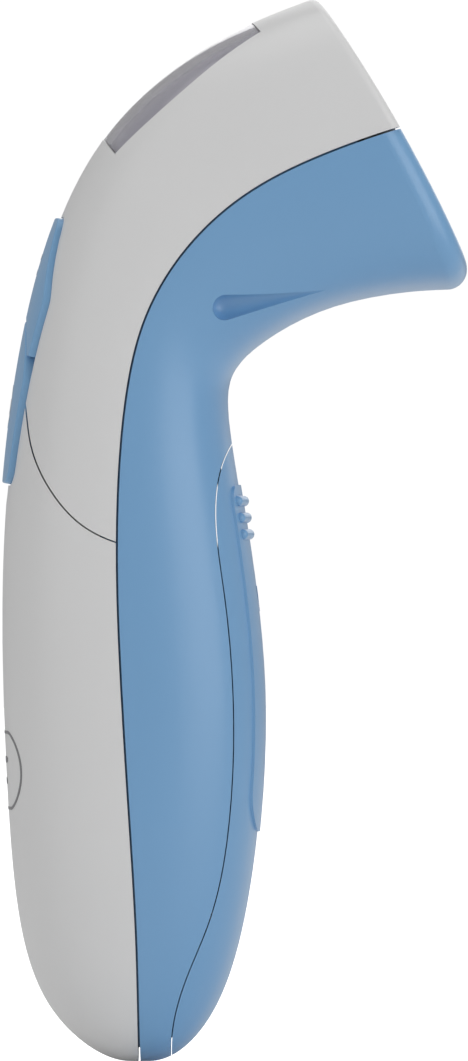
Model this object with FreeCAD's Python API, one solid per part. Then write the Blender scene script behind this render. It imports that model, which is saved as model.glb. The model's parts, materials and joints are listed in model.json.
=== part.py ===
"""Infrared thermometer for babies: a curved handle that turns into a wide-mouthed head.

The casing is a white rear (an upper and a lower cover) and a blue front housing with a sliding battery door.
Two blue keys and a clear window sit in the upper rear cover. Inside are the sensor, the display, two boards
and two AAA cells. Millimetres, +Z up the handle, +X the way the head points, Y across the casing.
"""

import FreeCAD
import Part

import math
import os

from FreeCAD import Vector

# ---- casing -------------------------------------------------------------------------------------------------
body_height = 150.0  # lowest point of the handle to the top of the head
body_depth = 65.2  # back of the handle to the tip of the head
handle_width = 35.2
neck_width = 33.6
head_width = 36.0
handle_power = 2.5  # of the sections: 2 is an ellipse, more is squarer
shoulder_power = 3.0
head_power = 3.6
wall = 1.8
tip_flat = 1.5  # radius of the small flat that closes the bottom
seam_gap = 0.3  # blue front to white rear
cover_gap = 0.2  # upper rear cover to lower rear cover
lip_thick = 1.0
lip_reach = 2.4
lip_clearance = 0.15
face_bulge = 1.1  # how far the head's end face stands out in its middle
white_rim_round = 1.2
blue_rim_round = 2.8

# ---- head mouth and sensor ----------------------------------------------------------------------------------
mouth_radius = 14.0
mouth_wall = 3.2  # thickness of the casing's end around the mouth
mouth_fit = 0.15
bezel_setback = 0.7
bezel_skin = 1.4
bezel_rim = 1.7
bezel_flange = 1.5
dish_depth = 9.4
sensor_bore = 6.0  # radius of the barrel's seat at the bottom of the dish
barrel_length = 11.0
barrel_skin = 1.2
barrel_fit = 0.05
ir_window_thick = 0.8
can_height = 4.2
can_cap_radius = 4.1
can_foot_radius = 4.6
can_foot_thick = 0.6
pin_radius = 0.22
pin_circle = 2.5
sensor_board_thick = 1.2

# ---- keys ---------------------------------------------------------------------------------------------------
key_proud = 0.8
key_gap = 0.2
key_split_gap = 0.35
key_flange = 0.8
key_flange_thick = 0.9
key_travel = 0.5
key_edge_round = 0.3
key_skin = 1.4
dip_length = 4.2  # the shallow dip below the scan key
dip_half = 4.0
dip_depth = 0.9
dip_below = 0.4
dip_rise = 0.45
key_bottom_half = 7.3
key_shoulder_half = 10.8
key_top_half = 6.8
key_length = 38.6
key_shoulder_at = 26.7
scan_key_top = 23.4
scan_key_round = 9.2  # radius of the scan key's rounded top
key_horn = 4.2  # how far short the mode key's two horns stop
key_post_radius = 1.8
key_board_depth = 8.2  # board's outer face, below the keys' chord
key_board_width = 25.4
key_board_start = 2.0
key_board_end = 37.6
scan_switch_at = 12.0
mode_switch_at = 31.0
switch_side = 6.0
switch_height = 3.2
plunger_radius = 1.7
plunger_height = 1.0
touch_gap = 0.05  # key post to switch plunger
buzzer_radius = 6.0
buzzer_height = 2.5
buzzer_at = 21.5

# ---- display ------------------------------------------------------------------------------------------------
window_end_half = 12.4
window_mid_half = 14.2
window_inset = 0.9  # from the window's end marks to its ends
window_gap = 0.14  # at its ends
window_side_gap = 0.04
window_ledge = 1.2
window_recess = 0.06
window_thick = 1.0
lcd_depth = 6.8  # LCD's face, below the window's outside at mid length
lcd_length = 22.0
lcd_width = 17.0
lcd_thick = 1.8
backlight_thick = 1.8
frame_border = 1.4
display_gap = 0.1
connector_width = 1.6
board_thick = 1.2
display_board_length = 32.4
display_board_width = 20.0
display_screw_at = 14.4
display_screw_side = 7.2
chip_side = 7.0
chip_height = 1.2

# ---- batteries ----------------------------------------------------------------------------------------------
cell_radius = 5.25  # AAA
cell_length = 44.5
nub_radius = 1.9
nub_height = 0.9
cell_pitch = 11.2
cell_clearance = 0.2
cell_front_gap = 1.2
bay_bottom = 20.4
spring_height = 3.0
spring_wire = 0.25
spring_base_radius = 3.4
spring_top_radius = 2.0
spring_turns = 3
contact_thick = 0.3
contact_half = 4.0
tray_end = 3.0
tray_side = 1.1
tray_floor = 1.4
tray_front_back = 5.0  # tray's front edge, behind the cells' front

# ---- battery door -------------------------------------------------------------------------------------------
door_gap = 0.15
door_slide_slope = 0.13  # how far the door moves out per millimetre down
door_plate_proud = 0.35
door_plate_top = 81.5
door_plate_bottom = 32.5
door_plate_half = 9.0
rib_count = 3
rib_pitch = 2.35
rib_first = 79.2
rib_radius = 0.75
rib_half = 7.2
tongue_half = 6.0
tongue_thick = 1.0
tongue_reach = 4.0
tongue_clearance = 0.35
door_rib_thick = 1.1  # the rib behind the door, which runs in the valley between the cells
door_rib_back = 0.7  # its edge, behind the cells' front
door_lip_reach = 1.8  # the housing's lip behind the door's edges, below the tray

# ---- screws and wiring --------------------------------------------------------------------------------------
case_screws = ((77.2, 3.4), (10.6, 5.6))  # height, and the seat's depth behind the cells' front
screw_shank = 1.1
screw_core = 0.9
screw_head_radius = 2.2
screw_head_height = 1.5
screw_length = 13.0
boss_radius = 2.7
web_thick = 1.8
web_half = 4.2
tab_thick = 1.5
board_screws_at = (4.4, 35.8)
board_screw_side = 10.9
board_boss_radius = 1.8
board_screw_head = 1.5
board_screw_length = 3.6
wire_radius = 0.55
ribbon_thick = 0.25
ribbon_half = 4.5

# ---- finger scoops ------------------------------------------------------------------------------------------
scoop_radius = 1.95  # of its blunt end
scoop_sink = 0.5  # how deep the middle of the blunt end lies
scoop_rise = 0.1  # how far the point stands out of the casing
scoop_wall = 1.3

FAR = 90.0  # beyond the casing on any side
RING = 16  # control points round the casing
WIRE_RING = 8  # and round a wire

# Outlines are drawn in percent: across the body's depth from its back, and up its height.
# Each row is (back across, back up, front across, front up, the section's kind, share of that kind's width).
HANDLE = (handle_width / 2, handle_power)
NECK = (neck_width / 2, handle_power)
SHOULDER = (neck_width / 2, shoulder_power)
HEAD = (head_width / 2, head_power)
casing_rows = [
    (23.0, 0.0, 37.0, 0.0, HANDLE, 0.5),
    (11.0, 3.4, 45.8, 3.2, HANDLE, 0.78),
    (3.9, 11.4, 52.6, 11.7, HANDLE, 0.94),
    (1.7, 22.7, 56.2, 23.0, HANDLE, 0.99),
    (0.6, 33.3, 57.2, 33.3, HANDLE, 1.0),
    (0.2, 42.7, 55.7, 42.0, HANDLE, 1.0),
    (0.8, 51.3, 53.1, 50.0, HANDLE, 0.99),
    (2.6, 60.0, 50.2, 57.3, NECK, 1.0),
    (5.9, 69.2, 48.9, 61.6, NECK, 1.0),
    (11.9, 79.4, 49.2, 65.0, NECK, 1.0),
    (22.9, 88.1, 56.4, 68.0, SHOULDER, 1.02),
    (38.7, 94.2, 68.4, 71.0, HEAD, 0.97),
    (53.7, 97.8, 83.0, 72.6, HEAD, 1.0),
    (67.6, 100.05, 97.5, 73.1, HEAD, 1.0),
    (81.4, 102.0, 111.4, 72.8, HEAD, 1.0),
]
# The head's end face, from its top to its lower lip.
face_top = (69.0, 99.7)
face_low = (102.1, 74.0)
# Parting line of the white rear and the blue front, from below the bottom to beyond the head.
parting = [
    (30.2, -4.0), (29.9, 3.3), (29.4, 12.0), (27.9, 23.3), (26.4, 34.0), (25.4, 44.0), (25.4, 52.0),
    (27.1, 62.0), (31.4, 69.9), (39.0, 75.7), (52.5, 81.3), (69.2, 85.1), (84.5, 87.5), (100.6, 89.5),
]
# Parting line of the two rear covers, from behind the keys to inside the front housing.
cover_parting = [(-5.0, 68.0), (5.2, 62.4), (6.5, 58.3), (11.7, 53.3), (17.8, 50.5), (25.2, 48.9), (34.0, 48.1)]
# Edge of the battery door, from in front of its top to below its bottom.
door_edge = [
    (54.0, 60.0), (48.6, 56.8), (46.8, 53.3), (48.4, 44.5), (50.5, 33.5), (49.6, 22.7),
    (45.0, 13.0), (40.6, 8.3), (37.6, -1.5),
]
# Where the window, the keys and the finger scoops are, up the height of the body.
window_low_up = 86.3
window_high_up = 98.0
keys_low_up = 54.3
scoop_blunt = (48.6, 71.0)
scoop_point = (71.0, 72.6)


# ---- outline helpers ----------------------------------------------------------------------------------------
def at(percent):
    """A point of the side view, from percent of the depth and the height."""
    return Vector((percent[0] / 100 - 0.5) * body_depth, 0, percent[1] / 100 * body_height)


def spline(points):
    curve = Part.BSplineCurve()
    curve.interpolate(points)
    return curve


def shifted(points, distance):
    """The points of a side-view line, moved to the left of its direction."""
    moved = []
    for i, point in enumerate(points):
        along = points[min(i + 1, len(points) - 1)] - points[max(i - 1, 0)]
        along.normalize()
        moved.append(point + Vector(-along.z, 0, along.x) * distance)
    return moved


def side_region(points, corners):
    """Everything between a line of the side view and the corners that close it, right across the casing."""
    edge = spline(points).toShape()
    closing = Part.makePolygon([points[-1], *corners, points[0]])
    face = Part.Face(Part.Wire([edge, *closing.Edges]))
    face.translate(Vector(0, -FAR, 0))
    return face.extrude(Vector(0, 2 * FAR, 0))


def rear_region(distance):
    """The rear side of the parting line, grown forward by a distance."""
    points = shifted([at(p) for p in parting], -distance)
    return side_region(points, [Vector(FAR, 0, 2 * FAR + body_height), Vector(-FAR, 0, 2 * FAR + body_height), Vector(-FAR, 0, -FAR)])


def upper_region(distance):
    """Above the parting line of the rear covers, grown down by a distance."""
    points = shifted([at(p) for p in cover_parting], -distance)
    top = 2 * FAR + body_height
    return side_region(points, [Vector(FAR, 0, points[-1].z), Vector(FAR, 0, top), Vector(-FAR, 0, top), Vector(-FAR, 0, points[0].z)])


def door_region(distance):
    """In front of the door's edge, grown back by a distance."""
    points = shifted([at(p) for p in door_edge], -distance)
    return side_region(points, [Vector(FAR, 0, points[-1].z), Vector(FAR, 0, points[0].z)])


# ---- skins through rings of control points ------------------------------------------------------------------
def swell(count):
    """How much larger than its section a cubic ring of control points is."""
    return 3 / (2 + math.cos(2 * math.pi / count))


def skinned(rows):
    """A closed solid through rings of control points, with flat ends."""
    count = len(rows[0])
    poles = [[row[i] for row in rows] for i in range(count)]
    surface = Part.BSplineSurface()
    surface.buildFromPolesMultsKnots(
        poles, [1] * (count + 1), [4] + [1] * (len(rows) - 4) + [4],
        list(range(count + 1)), list(range(len(rows) - 2)), True, False, 3, 3,
    )
    side = surface.toShape()
    caps = [Part.Face(Part.Wire([edge])) for edge in side.Edges if edge.isClosed()]
    solid = Part.Solid(Part.Shell([side, *caps]))
    solid.fix(1e-6, 1e-6, 1e-6)
    return solid


def wire_along(points, radius, first_way, last_way):
    """A round wire that follows the points; its end caps are square to the ways given."""
    middle_ways = [after - before for before, after in zip(points, points[2:])]
    rows = []
    side = first_way.cross(Vector(0, 0, 1))
    for point, way in zip(points, [first_way, *middle_ways, last_way]):
        way = way.normalize()
        side = side - way * side.dot(way)
        side.normalize()
        up = way.cross(side)
        angles = [2 * math.pi * j / WIRE_RING for j in range(WIRE_RING)]
        reach = radius * swell(WIRE_RING)
        rows.append([point + side * (reach * math.cos(a)) + up * (reach * math.sin(a)) for a in angles])
    return skinned(rows)


# ---- casing body --------------------------------------------------------------------------------------------
def ring(back, front, half_width, power, inset):
    """Control points of one section of the casing: a superellipse from back to front, inset all round."""
    middle = (back + front) * 0.5
    half = (front - back) * 0.5
    depth = (half.Length - inset) * swell(RING)
    width = (half_width - inset) * swell(RING)
    half.normalize()
    points = []
    for i in range(RING):
        angle = 2 * math.pi * i / RING
        along = math.copysign(abs(math.cos(angle)) ** (2 / power), -math.cos(angle))
        across = math.copysign(abs(math.sin(angle)) ** (2 / power), math.sin(angle))
        points.append(middle + half * (along * depth) + Vector(0, across * width, 0))
    return points


def casing_body(inset):
    """The casing's outer form, shrunk by inset on every side, and longer than the head."""
    lift = Vector(0, 0, inset)
    rows = []
    for i, (back_x, back_z, front_x, front_z, (half_width, power), share) in enumerate(casing_rows):
        back = at((back_x, back_z))
        front = at((front_x, front_z))
        if i == 0:
            back += lift
            front += lift
            middle = (back + front) * 0.5
            flat = Vector(tip_flat, 0, 0)
            rows.append(ring(middle - flat, middle + flat, tip_flat, power, 0))
        rows.append(ring(back, front, half_width * share, power, inset))
    return skinned(rows)


def outline_curve(column):
    """The casing's back (0) or front (2) silhouette as a curve."""
    poles = [at(row[column:column + 2]) for row in casing_rows]
    curve = Part.BSplineCurve()
    count = len(poles)
    curve.buildFromPolesMultsKnots(poles, [4] + [1] * (count - 4) + [4], list(range(count - 2)), False, 3)
    return curve


def point_at_height(curve, height):
    """The first point of a silhouette at a height, from the bottom up."""
    samples = curve.discretize(Number=600)
    for low, high in zip(samples, samples[1:]):
        if low.z <= height <= high.z:
            return low + (high - low) * ((height - low.z) / (high.z - low.z))
    raise ValueError("no outline point at height %.1f" % height)


back_curve = outline_curve(0)
front_curve = outline_curve(2)


class Frame:
    """A tilted working frame: u and v lie in its plane, w points out of it. v is always across the casing."""

    def __init__(self, origin, u, w):
        self.origin = origin
        self.u = u
        self.w = w
        self.v = w.cross(u)

    def point(self, u, v, w):
        return self.origin + self.u * u + self.v * v + self.w * w

    def place(self, shape):
        """Carries a shape drawn with x, y, z as u, v, w into the row frame."""
        columns = [self.u, self.v, self.w]
        matrix = FreeCAD.Matrix(
            columns[0].x, columns[1].x, columns[2].x, self.origin.x,
            columns[0].y, columns[1].y, columns[2].y, self.origin.y,
            columns[0].z, columns[1].z, columns[2].z, self.origin.z,
            0, 0, 0, 1,
        )
        moved = shape.copy()
        moved.Placement = FreeCAD.Placement(matrix).multiply(moved.Placement)
        return moved

    def box(self, u, v, w):
        """A block from (low, high) ranges."""
        size = [high - low for low, high in (u, v, w)]
        return self.place(Part.makeBox(*size, Vector(u[0], v[0], w[0])))

    def rod(self, u, v, w, radius):
        """A round bar along w at (u, v), from a (low, high) range."""
        return self.place(Part.makeCylinder(radius, w[1] - w[0], Vector(u, v, w[0])))

    def turned(self, profile):
        """A solid turned round w, from a closed profile of (radius, w) points."""
        points = [Vector(r, 0, w) for r, w in profile]
        face = Part.Face(Part.makePolygon([*points, points[0]]))
        return self.place(face.revolve(Vector(0, 0, 0), Vector(0, 0, 1), 360))


def frame_on_chord(low, high):
    """A frame whose u runs from low to high and whose w points out of the casing's back."""
    along = high - low
    along.normalize()
    return Frame(low, along, Vector(-along.z, 0, along.x))


# Frames of the head's mouth, the keys and the window.
_face_up = at(face_top) - at(face_low)
_face_up.normalize()
_face_out = Vector(_face_up.z, 0, -_face_up.x)
mouth = Frame((at(face_top) + at(face_low)) * 0.5 + _face_out * face_bulge, _face_up, _face_out)

_keys_low = point_at_height(back_curve, keys_low_up / 100 * body_height)
_keys_high = next(p for p in back_curve.discretize(Number=2000) if p.z > _keys_low.z and (p - _keys_low).Length >= key_length)
keys = frame_on_chord(_keys_low, _keys_high)

_window_low = point_at_height(back_curve, window_low_up / 100 * body_height)
_window_high = point_at_height(back_curve, window_high_up / 100 * body_height)
window_length = (_window_high - _window_low).Length
display = frame_on_chord(_window_low, _window_high)
display.origin = (_window_low + _window_high) * 0.5
_window_rise = max((p - display.origin).dot(display.w) for p in back_curve.discretize(Number=600))
display.origin = display.point(0, 0, _window_rise)

# Cells stand upright behind the door. Their front clears the door's inside over the whole bay.
bay_length = cell_length + spring_height + 2 * contact_thick
bay_top = bay_bottom + bay_length
tray_bottom = bay_bottom - tray_end
cells_front = min(point_at_height(front_curve, z).x for z in (bay_bottom, bay_bottom + bay_length / 2, bay_top)) - wall - cell_front_gap
cell_axis = cells_front - cell_radius
door_way = Vector(door_slide_slope, 0, -1)
door_way.normalize()


# ---- the pieces of the casing -------------------------------------------------------------------------------
def beyond_face(distance):
    """Everything beyond the head's end face, grown inward by a distance."""
    reach = (at(face_top) - at(face_low)).Length / 2
    half_angle = 2 * math.atan(face_bulge / reach)
    radius = reach / math.sin(half_angle)
    drum = Part.makeCylinder(radius - distance, 2 * FAR, Vector(0, 0, 0), Vector(0, 1, 0))
    drum.translate(mouth.point(0, 0, -radius) - Vector(0, FAR, 0))
    return mouth.box((-FAR, FAR), (-FAR, FAR), (-FAR / 2, FAR)).cut(drum)


def prism(frame, points, rounds):
    """A right prism along w over a (u, v) outline with rounded corners."""
    edges = []
    count = len(points)
    starts, ends, middles = [], [], []
    for i, radius in enumerate(rounds):
        corner = Vector(*points[i], 0)
        before = Vector(*points[i - 1], 0) - corner
        after = Vector(*points[(i + 1) % count], 0) - corner
        before.normalize()
        after.normalize()
        half = before.getAngle(after) / 2
        starts.append(corner + before * (radius / math.tan(half)))
        ends.append(corner + after * (radius / math.tan(half)))
        inward = before + after
        inward.normalize()
        middles.append(corner + inward * (radius / math.sin(half) - radius))
    for i in range(count):
        edges.append(Part.Arc(starts[i], middles[i], ends[i]).toShape())
        edges.append(Part.LineSegment(ends[i], starts[(i + 1) % count]).toShape())
    face = Part.Face(Part.Wire(edges))
    face.translate(Vector(0, 0, -FAR / 6))
    return frame.place(face.extrude(Vector(0, 0, FAR / 3)))


def keys_outline(grow):
    """The outline of both keys together."""
    half = [(-grow, key_bottom_half + grow), (key_shoulder_at, key_shoulder_half + grow),
            (key_length + grow, key_top_half + grow)]
    points = half + [(u, -v) for u, v in reversed(half)]
    rounds = [3.0, 5.0, 2.5]
    return prism(keys, points, rounds + rounds[::-1])


def scan_zone(grow, shoulder):
    """Where the scan key is: below its shoulder, and in the circle that rounds its top."""
    centre = scan_key_top - scan_key_round
    low = keys.box((-FAR / 3, centre + shoulder), (-FAR / 3, FAR / 3), (-FAR / 6, FAR / 6))
    return low.fuse(keys.rod(centre, 0, (-FAR / 6, FAR / 6), scan_key_round + grow))


def mode_zone(grow, horn):
    """Where the mode key is: everything outside the scan key's circle, above the horns' ends."""
    return keys.box((-FAR / 3, FAR), (-FAR / 3, FAR / 3), (-FAR / 6, FAR / 6)).cut(scan_zone(-grow, horn))


def window_outline(grow, grow_side):
    """The display window's barrel-shaped outline, grown at its ends and at its sides."""
    half_length = window_length / 2 - window_inset + grow
    end = window_end_half + grow_side
    middle = window_mid_half + grow_side
    corners = [Vector(-half_length, -end, 0), Vector(half_length, -end, 0), Vector(half_length, end, 0), Vector(-half_length, end, 0)]
    edges = [
        Part.Arc(corners[0], Vector(0, -middle, 0), corners[1]).toShape(),
        Part.LineSegment(corners[1], corners[2]).toShape(),
        Part.Arc(corners[2], Vector(0, middle, 0), corners[3]).toShape(),
        Part.LineSegment(corners[3], corners[0]).toShape(),
    ]
    face = Part.Face(Part.Wire(edges))
    face.translate(Vector(0, 0, -FAR / 6))
    return display.place(face.extrude(Vector(0, 0, FAR / 3)))


def teardrop(blunt, point, radius):
    """A ball drawn out to a point."""
    reach = (point - blunt).Length
    way = (point - blunt) / reach
    lean = math.asin(radius / reach)
    start = radius * math.sin(lean)
    taper = Part.makeCone(radius * math.cos(lean), 0, reach - start, blunt + way * start, way)
    return Part.makeSphere(radius, blunt).fuse(taper)


def ellipsoid(length, depth, height):
    """A ball stretched to three half sizes along X, Y and Z."""
    stretch = FreeCAD.Matrix()
    stretch.scale(length, depth, height)
    return Part.makeSphere(1).transformGeometry(stretch)


def pipe(curve, radius):
    """A round wire along a curve."""
    start = curve.value(curve.FirstParameter)
    way = curve.tangent(curve.FirstParameter)[0]
    circle = Part.Wire([Part.Circle(start, way, radius).toShape()])
    return Part.Wire([curve.toShape()]).makePipeShell([circle], True, True)


def lead(start, start_way, end, end_way):
    """A curve from one solder joint to another, leaving and arriving along given directions."""
    curve = Part.BSplineCurve()
    reach = (end - start).Length
    curve.interpolate([start, end], InitialTangent=start_way * reach, FinalTangent=end_way * reach)
    return curve


def lead_wire(start, start_way, end, end_way):
    """An insulated wire between two solder joints."""
    points = lead(start, start_way, end, end_way).discretize(Number=12)
    return wire_along(points, wire_radius, Vector(start_way), Vector(end_way))


def side_strip(points, thick, half_width):
    """A bent strip: a side-view line given a thickness and a width across the casing."""
    left = spline(shifted(points, thick / 2)).toShape()
    right = spline(shifted(points, -thick / 2)).toShape()
    ends = [Part.makeLine(left.Vertexes[0].Point, right.Vertexes[0].Point),
            Part.makeLine(left.Vertexes[-1].Point, right.Vertexes[-1].Point)]
    face = Part.Face(Part.Wire(Part.__sortEdges__([left, ends[1], right, ends[0]])))
    face.translate(Vector(0, -half_width, 0))
    return face.extrude(Vector(0, 2 * half_width, 0))


def box(x, y, z):
    """A block from (low, high) ranges of the casing's own axes."""
    size = [high - low for low, high in (x, y, z)]
    return Part.makeBox(*size, Vector(x[0], y[0], z[0]))


def board_screw(frame, u, v, back):
    """A small screw, driven from a board's back into its boss."""
    shank = frame.rod(u, v, (back, back + board_screw_length), screw_core)
    return shank.fuse(frame.rod(u, v, (back - 0.9, back), board_screw_head))


# ---- casing mouldings ---------------------------------------------------------------------------------------
form = casing_body(0).cut(beyond_face(0))
end_face = min(form.Faces, key=lambda face: face.CenterOfMass.distanceToPoint(mouth.origin))
white_form = form.makeFillet(white_rim_round, end_face.Edges)
blue_form = form.makeFillet(blue_rim_round, end_face.Edges)


def cavity(inset):
    """The room inside the casing, stopping at the wall round the mouth."""
    return casing_body(inset).cut(beyond_face(mouth_wall))


room = cavity(wall)
lip_outside = cavity(wall + lip_clearance)
lip_inside = cavity(wall + lip_clearance + lip_thick)
lip_root = 2.0  # how far the thickened edge behind a lip reaches into its own half
lip_stop = beyond_face(mouth_wall + 3.0)  # the bezel's flange needs the room nearer the mouth
mouth_hole = mouth.rod(0, 0, (-mouth_wall - 4 * face_bulge, FAR / 3), mouth_radius)
case_screw_seats = [(z, cells_front - depth) for z, depth in case_screws]


def rear_screw_boss(z, seat):
    """A tall boss of the lower rear cover, up to the tray's tab."""
    tip = seat - web_thick - tab_thick - 2 * lip_clearance
    core = Part.makeCylinder(boss_radius, FAR, Vector(tip - FAR, 0, z), Vector(1, 0, 0))
    pilot = Part.makeCylinder(screw_core, screw_length, Vector(tip - screw_length + 2, 0, z), Vector(1, 0, 0))
    return core.common(casing_body(wall / 2)).cut(pilot)


def flank_point(percent, side, out):
    """A point out from the casing's flank, at a place of the side view."""
    place = at(percent)
    reach = form.common(Part.makeLine(place, place + Vector(0, FAR, 0))).Length
    return place + Vector(0, side * (reach + out), 0)


def board_boss(frame, u, v, face):
    """A boss from a board's outer face to the cover."""
    return frame.rod(u, v, (face, FAR / 4), board_boss_radius).common(casing_body(wall / 2))


def board_pilot(frame, u, v, face):
    """The pilot hole of a board's boss."""
    return frame.rod(u, v, (face - 1, face + board_screw_length - board_thick + 0.5), screw_core)


key_board_face = -key_board_depth
lcd_bottom = -lcd_depth - lcd_thick
light_top = lcd_bottom - display_gap / 2
light_bottom = light_top - backlight_thick
display_board_face = light_bottom - display_gap / 2

rear_side = rear_region(-seam_gap / 2)
front_cut = rear_region(seam_gap / 2)
front_housing = blue_form.cut(front_cut).cut(door_region(door_gap))
lip_band = rear_region(seam_gap / 2 + lip_root).cut(lip_stop)
front_housing = front_housing.cut(room.cut(lip_band)).cut(lip_inside)
front_lip = lip_outside.common(lip_band).cut(rear_region(-lip_reach)).cut(lip_inside).cut(door_region(door_gap))
front_housing = front_housing.fuse(front_lip).cut(mouth_hole)
lip_foot = casing_body(wall / 2).common(door_region(door_gap + lip_root)).cut(door_region(door_gap))
door_lip = lip_outside.common(door_region(door_gap + lip_root)).cut(door_region(-door_lip_reach))
door_lip = lip_foot.fuse(door_lip).cut(lip_inside).common(box((-FAR, FAR), (-FAR, FAR), (-FAR, tray_bottom - 0.3)))
front_housing = front_housing.fuse(door_lip.common(blue_form).cut(front_cut))
for z, seat in case_screw_seats:
    web = box((seat - web_thick, seat), (-FAR, FAR), (z - web_half, z + web_half))
    web = web.common(casing_body(wall / 2)).cut(door_region(door_gap))
    hole = Part.makeCylinder(screw_shank + 0.1, 4 * web_thick, Vector(seat - 2 * web_thick, 0, z), Vector(1, 0, 0))
    front_housing = front_housing.fuse(web).cut(hole)
for side in (-1, 1):
    blunt = flank_point(scoop_blunt, side, -scoop_sink)
    point = flank_point(scoop_point, side, scoop_rise)
    backing = teardrop(blunt, point, scoop_radius + scoop_wall).common(casing_body(wall / 2))
    front_housing = front_housing.fuse(backing).cut(teardrop(blunt, point, scoop_radius))

keys_room = keys_outline(key_flange + key_gap).common(casing_body(wall))
window_seat = window_outline(0, 0).cut(casing_body(window_recess + window_thick + 0.03))
upper_cover = white_form.common(rear_side).common(upper_region(-cover_gap / 2))
upper_cover = upper_cover.cut(room).cut(mouth_hole).cut(keys_outline(0))
upper_wall = upper_region(cover_gap / 2).cut(lip_outside)
upper_band = upper_region(cover_gap / 2 + lip_root)
lower_cover = white_form.common(rear_side).cut(upper_region(cover_gap / 2))
lower_cover = lower_cover.cut(room.cut(upper_band)).cut(lip_inside)
lower_lip = lip_outside.common(upper_band).cut(upper_region(-lip_reach)).cut(lip_inside)
lower_lip = lower_lip.common(rear_region(-lip_reach - lip_clearance))
lower_cover = lower_cover.fuse(lower_lip).cut(keys_outline(0)).cut(keys_room)
lower_cover = lower_cover.cut(lip_outside.common(lip_band).cut(rear_region(-lip_reach - lip_clearance)))
for z, seat in case_screw_seats:
    lower_cover = lower_cover.fuse(rear_screw_boss(z, seat))
for v in (-board_screw_side, board_screw_side):
    low, high = [(keys, u, v, key_board_face) for u in board_screws_at]
    lower_cover = lower_cover.fuse(board_boss(*low).cut(upper_wall)).cut(board_pilot(*low))
    upper_cover = upper_cover.fuse(board_boss(*high)).cut(board_pilot(*high))
for u in (-display_screw_at, display_screw_at):
    for v in (-display_screw_side, display_screw_side):
        place = (display, u, v, display_board_face)
        upper_cover = upper_cover.fuse(board_boss(*place)).cut(board_pilot(*place))
upper_cover = upper_cover.cut(window_seat).cut(window_outline(-window_ledge, -window_ledge))
thumb_dip = ellipsoid(dip_length, dip_half, dip_depth)
lower_cover = lower_cover.cut(keys.place(thumb_dip.translated(Vector(-dip_below, 0, dip_rise))))

# ---- window and display -------------------------------------------------------------------------------------
window = casing_body(window_recess).common(window_outline(-window_gap, -window_side_gap))
window = window.cut(casing_body(window_recess + window_thick))

lcd_half = lcd_length / 2
lcd_side = lcd_width / 2
lcd_top = -lcd_depth
panel = display.box((-lcd_half, lcd_half), (-lcd_side, lcd_side), (lcd_bottom, lcd_top))
light_side = lcd_side - connector_width - display_gap
backlight = display.box((-lcd_half, lcd_half), (-light_side, light_side), (light_bottom, light_top))
connectors = []
for side in (-1, 1):
    edges = sorted((side * (lcd_side - connector_width), side * lcd_side))
    connectors.append(display.box((-lcd_half + 1, lcd_half - 1), edges, (display_board_face, lcd_bottom)))
frame_top = lcd_top + 0.6
frame_block = display.box(
    (-lcd_half - frame_border, lcd_half + frame_border), (-lcd_side - frame_border, lcd_side + frame_border),
    (display_board_face, frame_top),
)
frame_pocket = display.box(
    (-lcd_half - display_gap, lcd_half + display_gap), (-lcd_side - display_gap, lcd_side + display_gap),
    (display_board_face - 1, lcd_top + display_gap / 2),
)
frame_sight = display.box((-lcd_half + 0.8, lcd_half - 0.8), (-lcd_side + 0.8, lcd_side - 0.8), (lcd_top - 1, 0))
lcd_frame = frame_block.cut(frame_pocket).cut(frame_sight)
display_board_back = display_board_face - board_thick
display_board = display.box(
    (-display_board_length / 2, display_board_length / 2), (-display_board_width / 2, display_board_width / 2),
    (display_board_back, display_board_face),
)
chip_top = display_board_back - chip_height
chips = [
    display.box((-chip_side / 2 + 3, chip_side / 2 + 3), (-chip_side / 2, chip_side / 2), (chip_top, display_board_back)),
    display.box((-7.5, -4.5), (1.5, 6.0), (chip_top + 0.3, display_board_back)),
    display.box((-7.5, -5.0), (-6.5, -2.5), (chip_top + 0.1, display_board_back)),
]
display_screws = []
for u in (-display_screw_at, display_screw_at):
    for v in (-display_screw_side, display_screw_side):
        display_board = display_board.cut(display.rod(u, v, (display_board_back - 1, display_board_face + 1), screw_shank))
        display_screws.append(board_screw(display, u, v, display_board_back))

# ---- keys, key board and switches ---------------------------------------------------------------------------
key_base_inset = wall + key_gap / 4 + key_flange_thick
switch_top = key_board_face + switch_height
plunger_top = switch_top + plunger_height
key_inner = casing_body(key_base_inset)
key_outer = casing_body(-key_proud)
split = key_split_gap / 2


def make_key(zone, core_zone, switch_at):
    """One key: a rounded cap, a flange behind the cover and a post that meets its switch."""
    cap = key_outer.common(keys_outline(-key_gap)).common(zone).Solids[0]
    cap = cap.makeFillet(key_edge_round, [edge for edge in cap.Edges if is_outer_rim(edge)]).cut(key_inner)
    flange = casing_body(wall + key_gap / 4).common(keys_outline(key_flange)).common(zone).cut(key_inner)
    hollow = casing_body(key_skin).common(keys_outline(-key_gap - key_skin)).common(core_zone)
    post = keys.rod(switch_at, 0, (plunger_top + touch_gap, 0), key_post_radius)
    return cap.fuse(flange).cut(hollow).fuse(post)


def is_outer_rim(edge):
    """True for a key cap's edge that runs along its proud outer surface."""
    for share in (0.1, 0.5, 0.9):
        at_share = edge.valueAt(edge.FirstParameter + (edge.LastParameter - edge.FirstParameter) * share)
        if key_rim_check.distToShape(Part.Vertex(at_share))[0] > 0.02:
            return False
    return True


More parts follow.
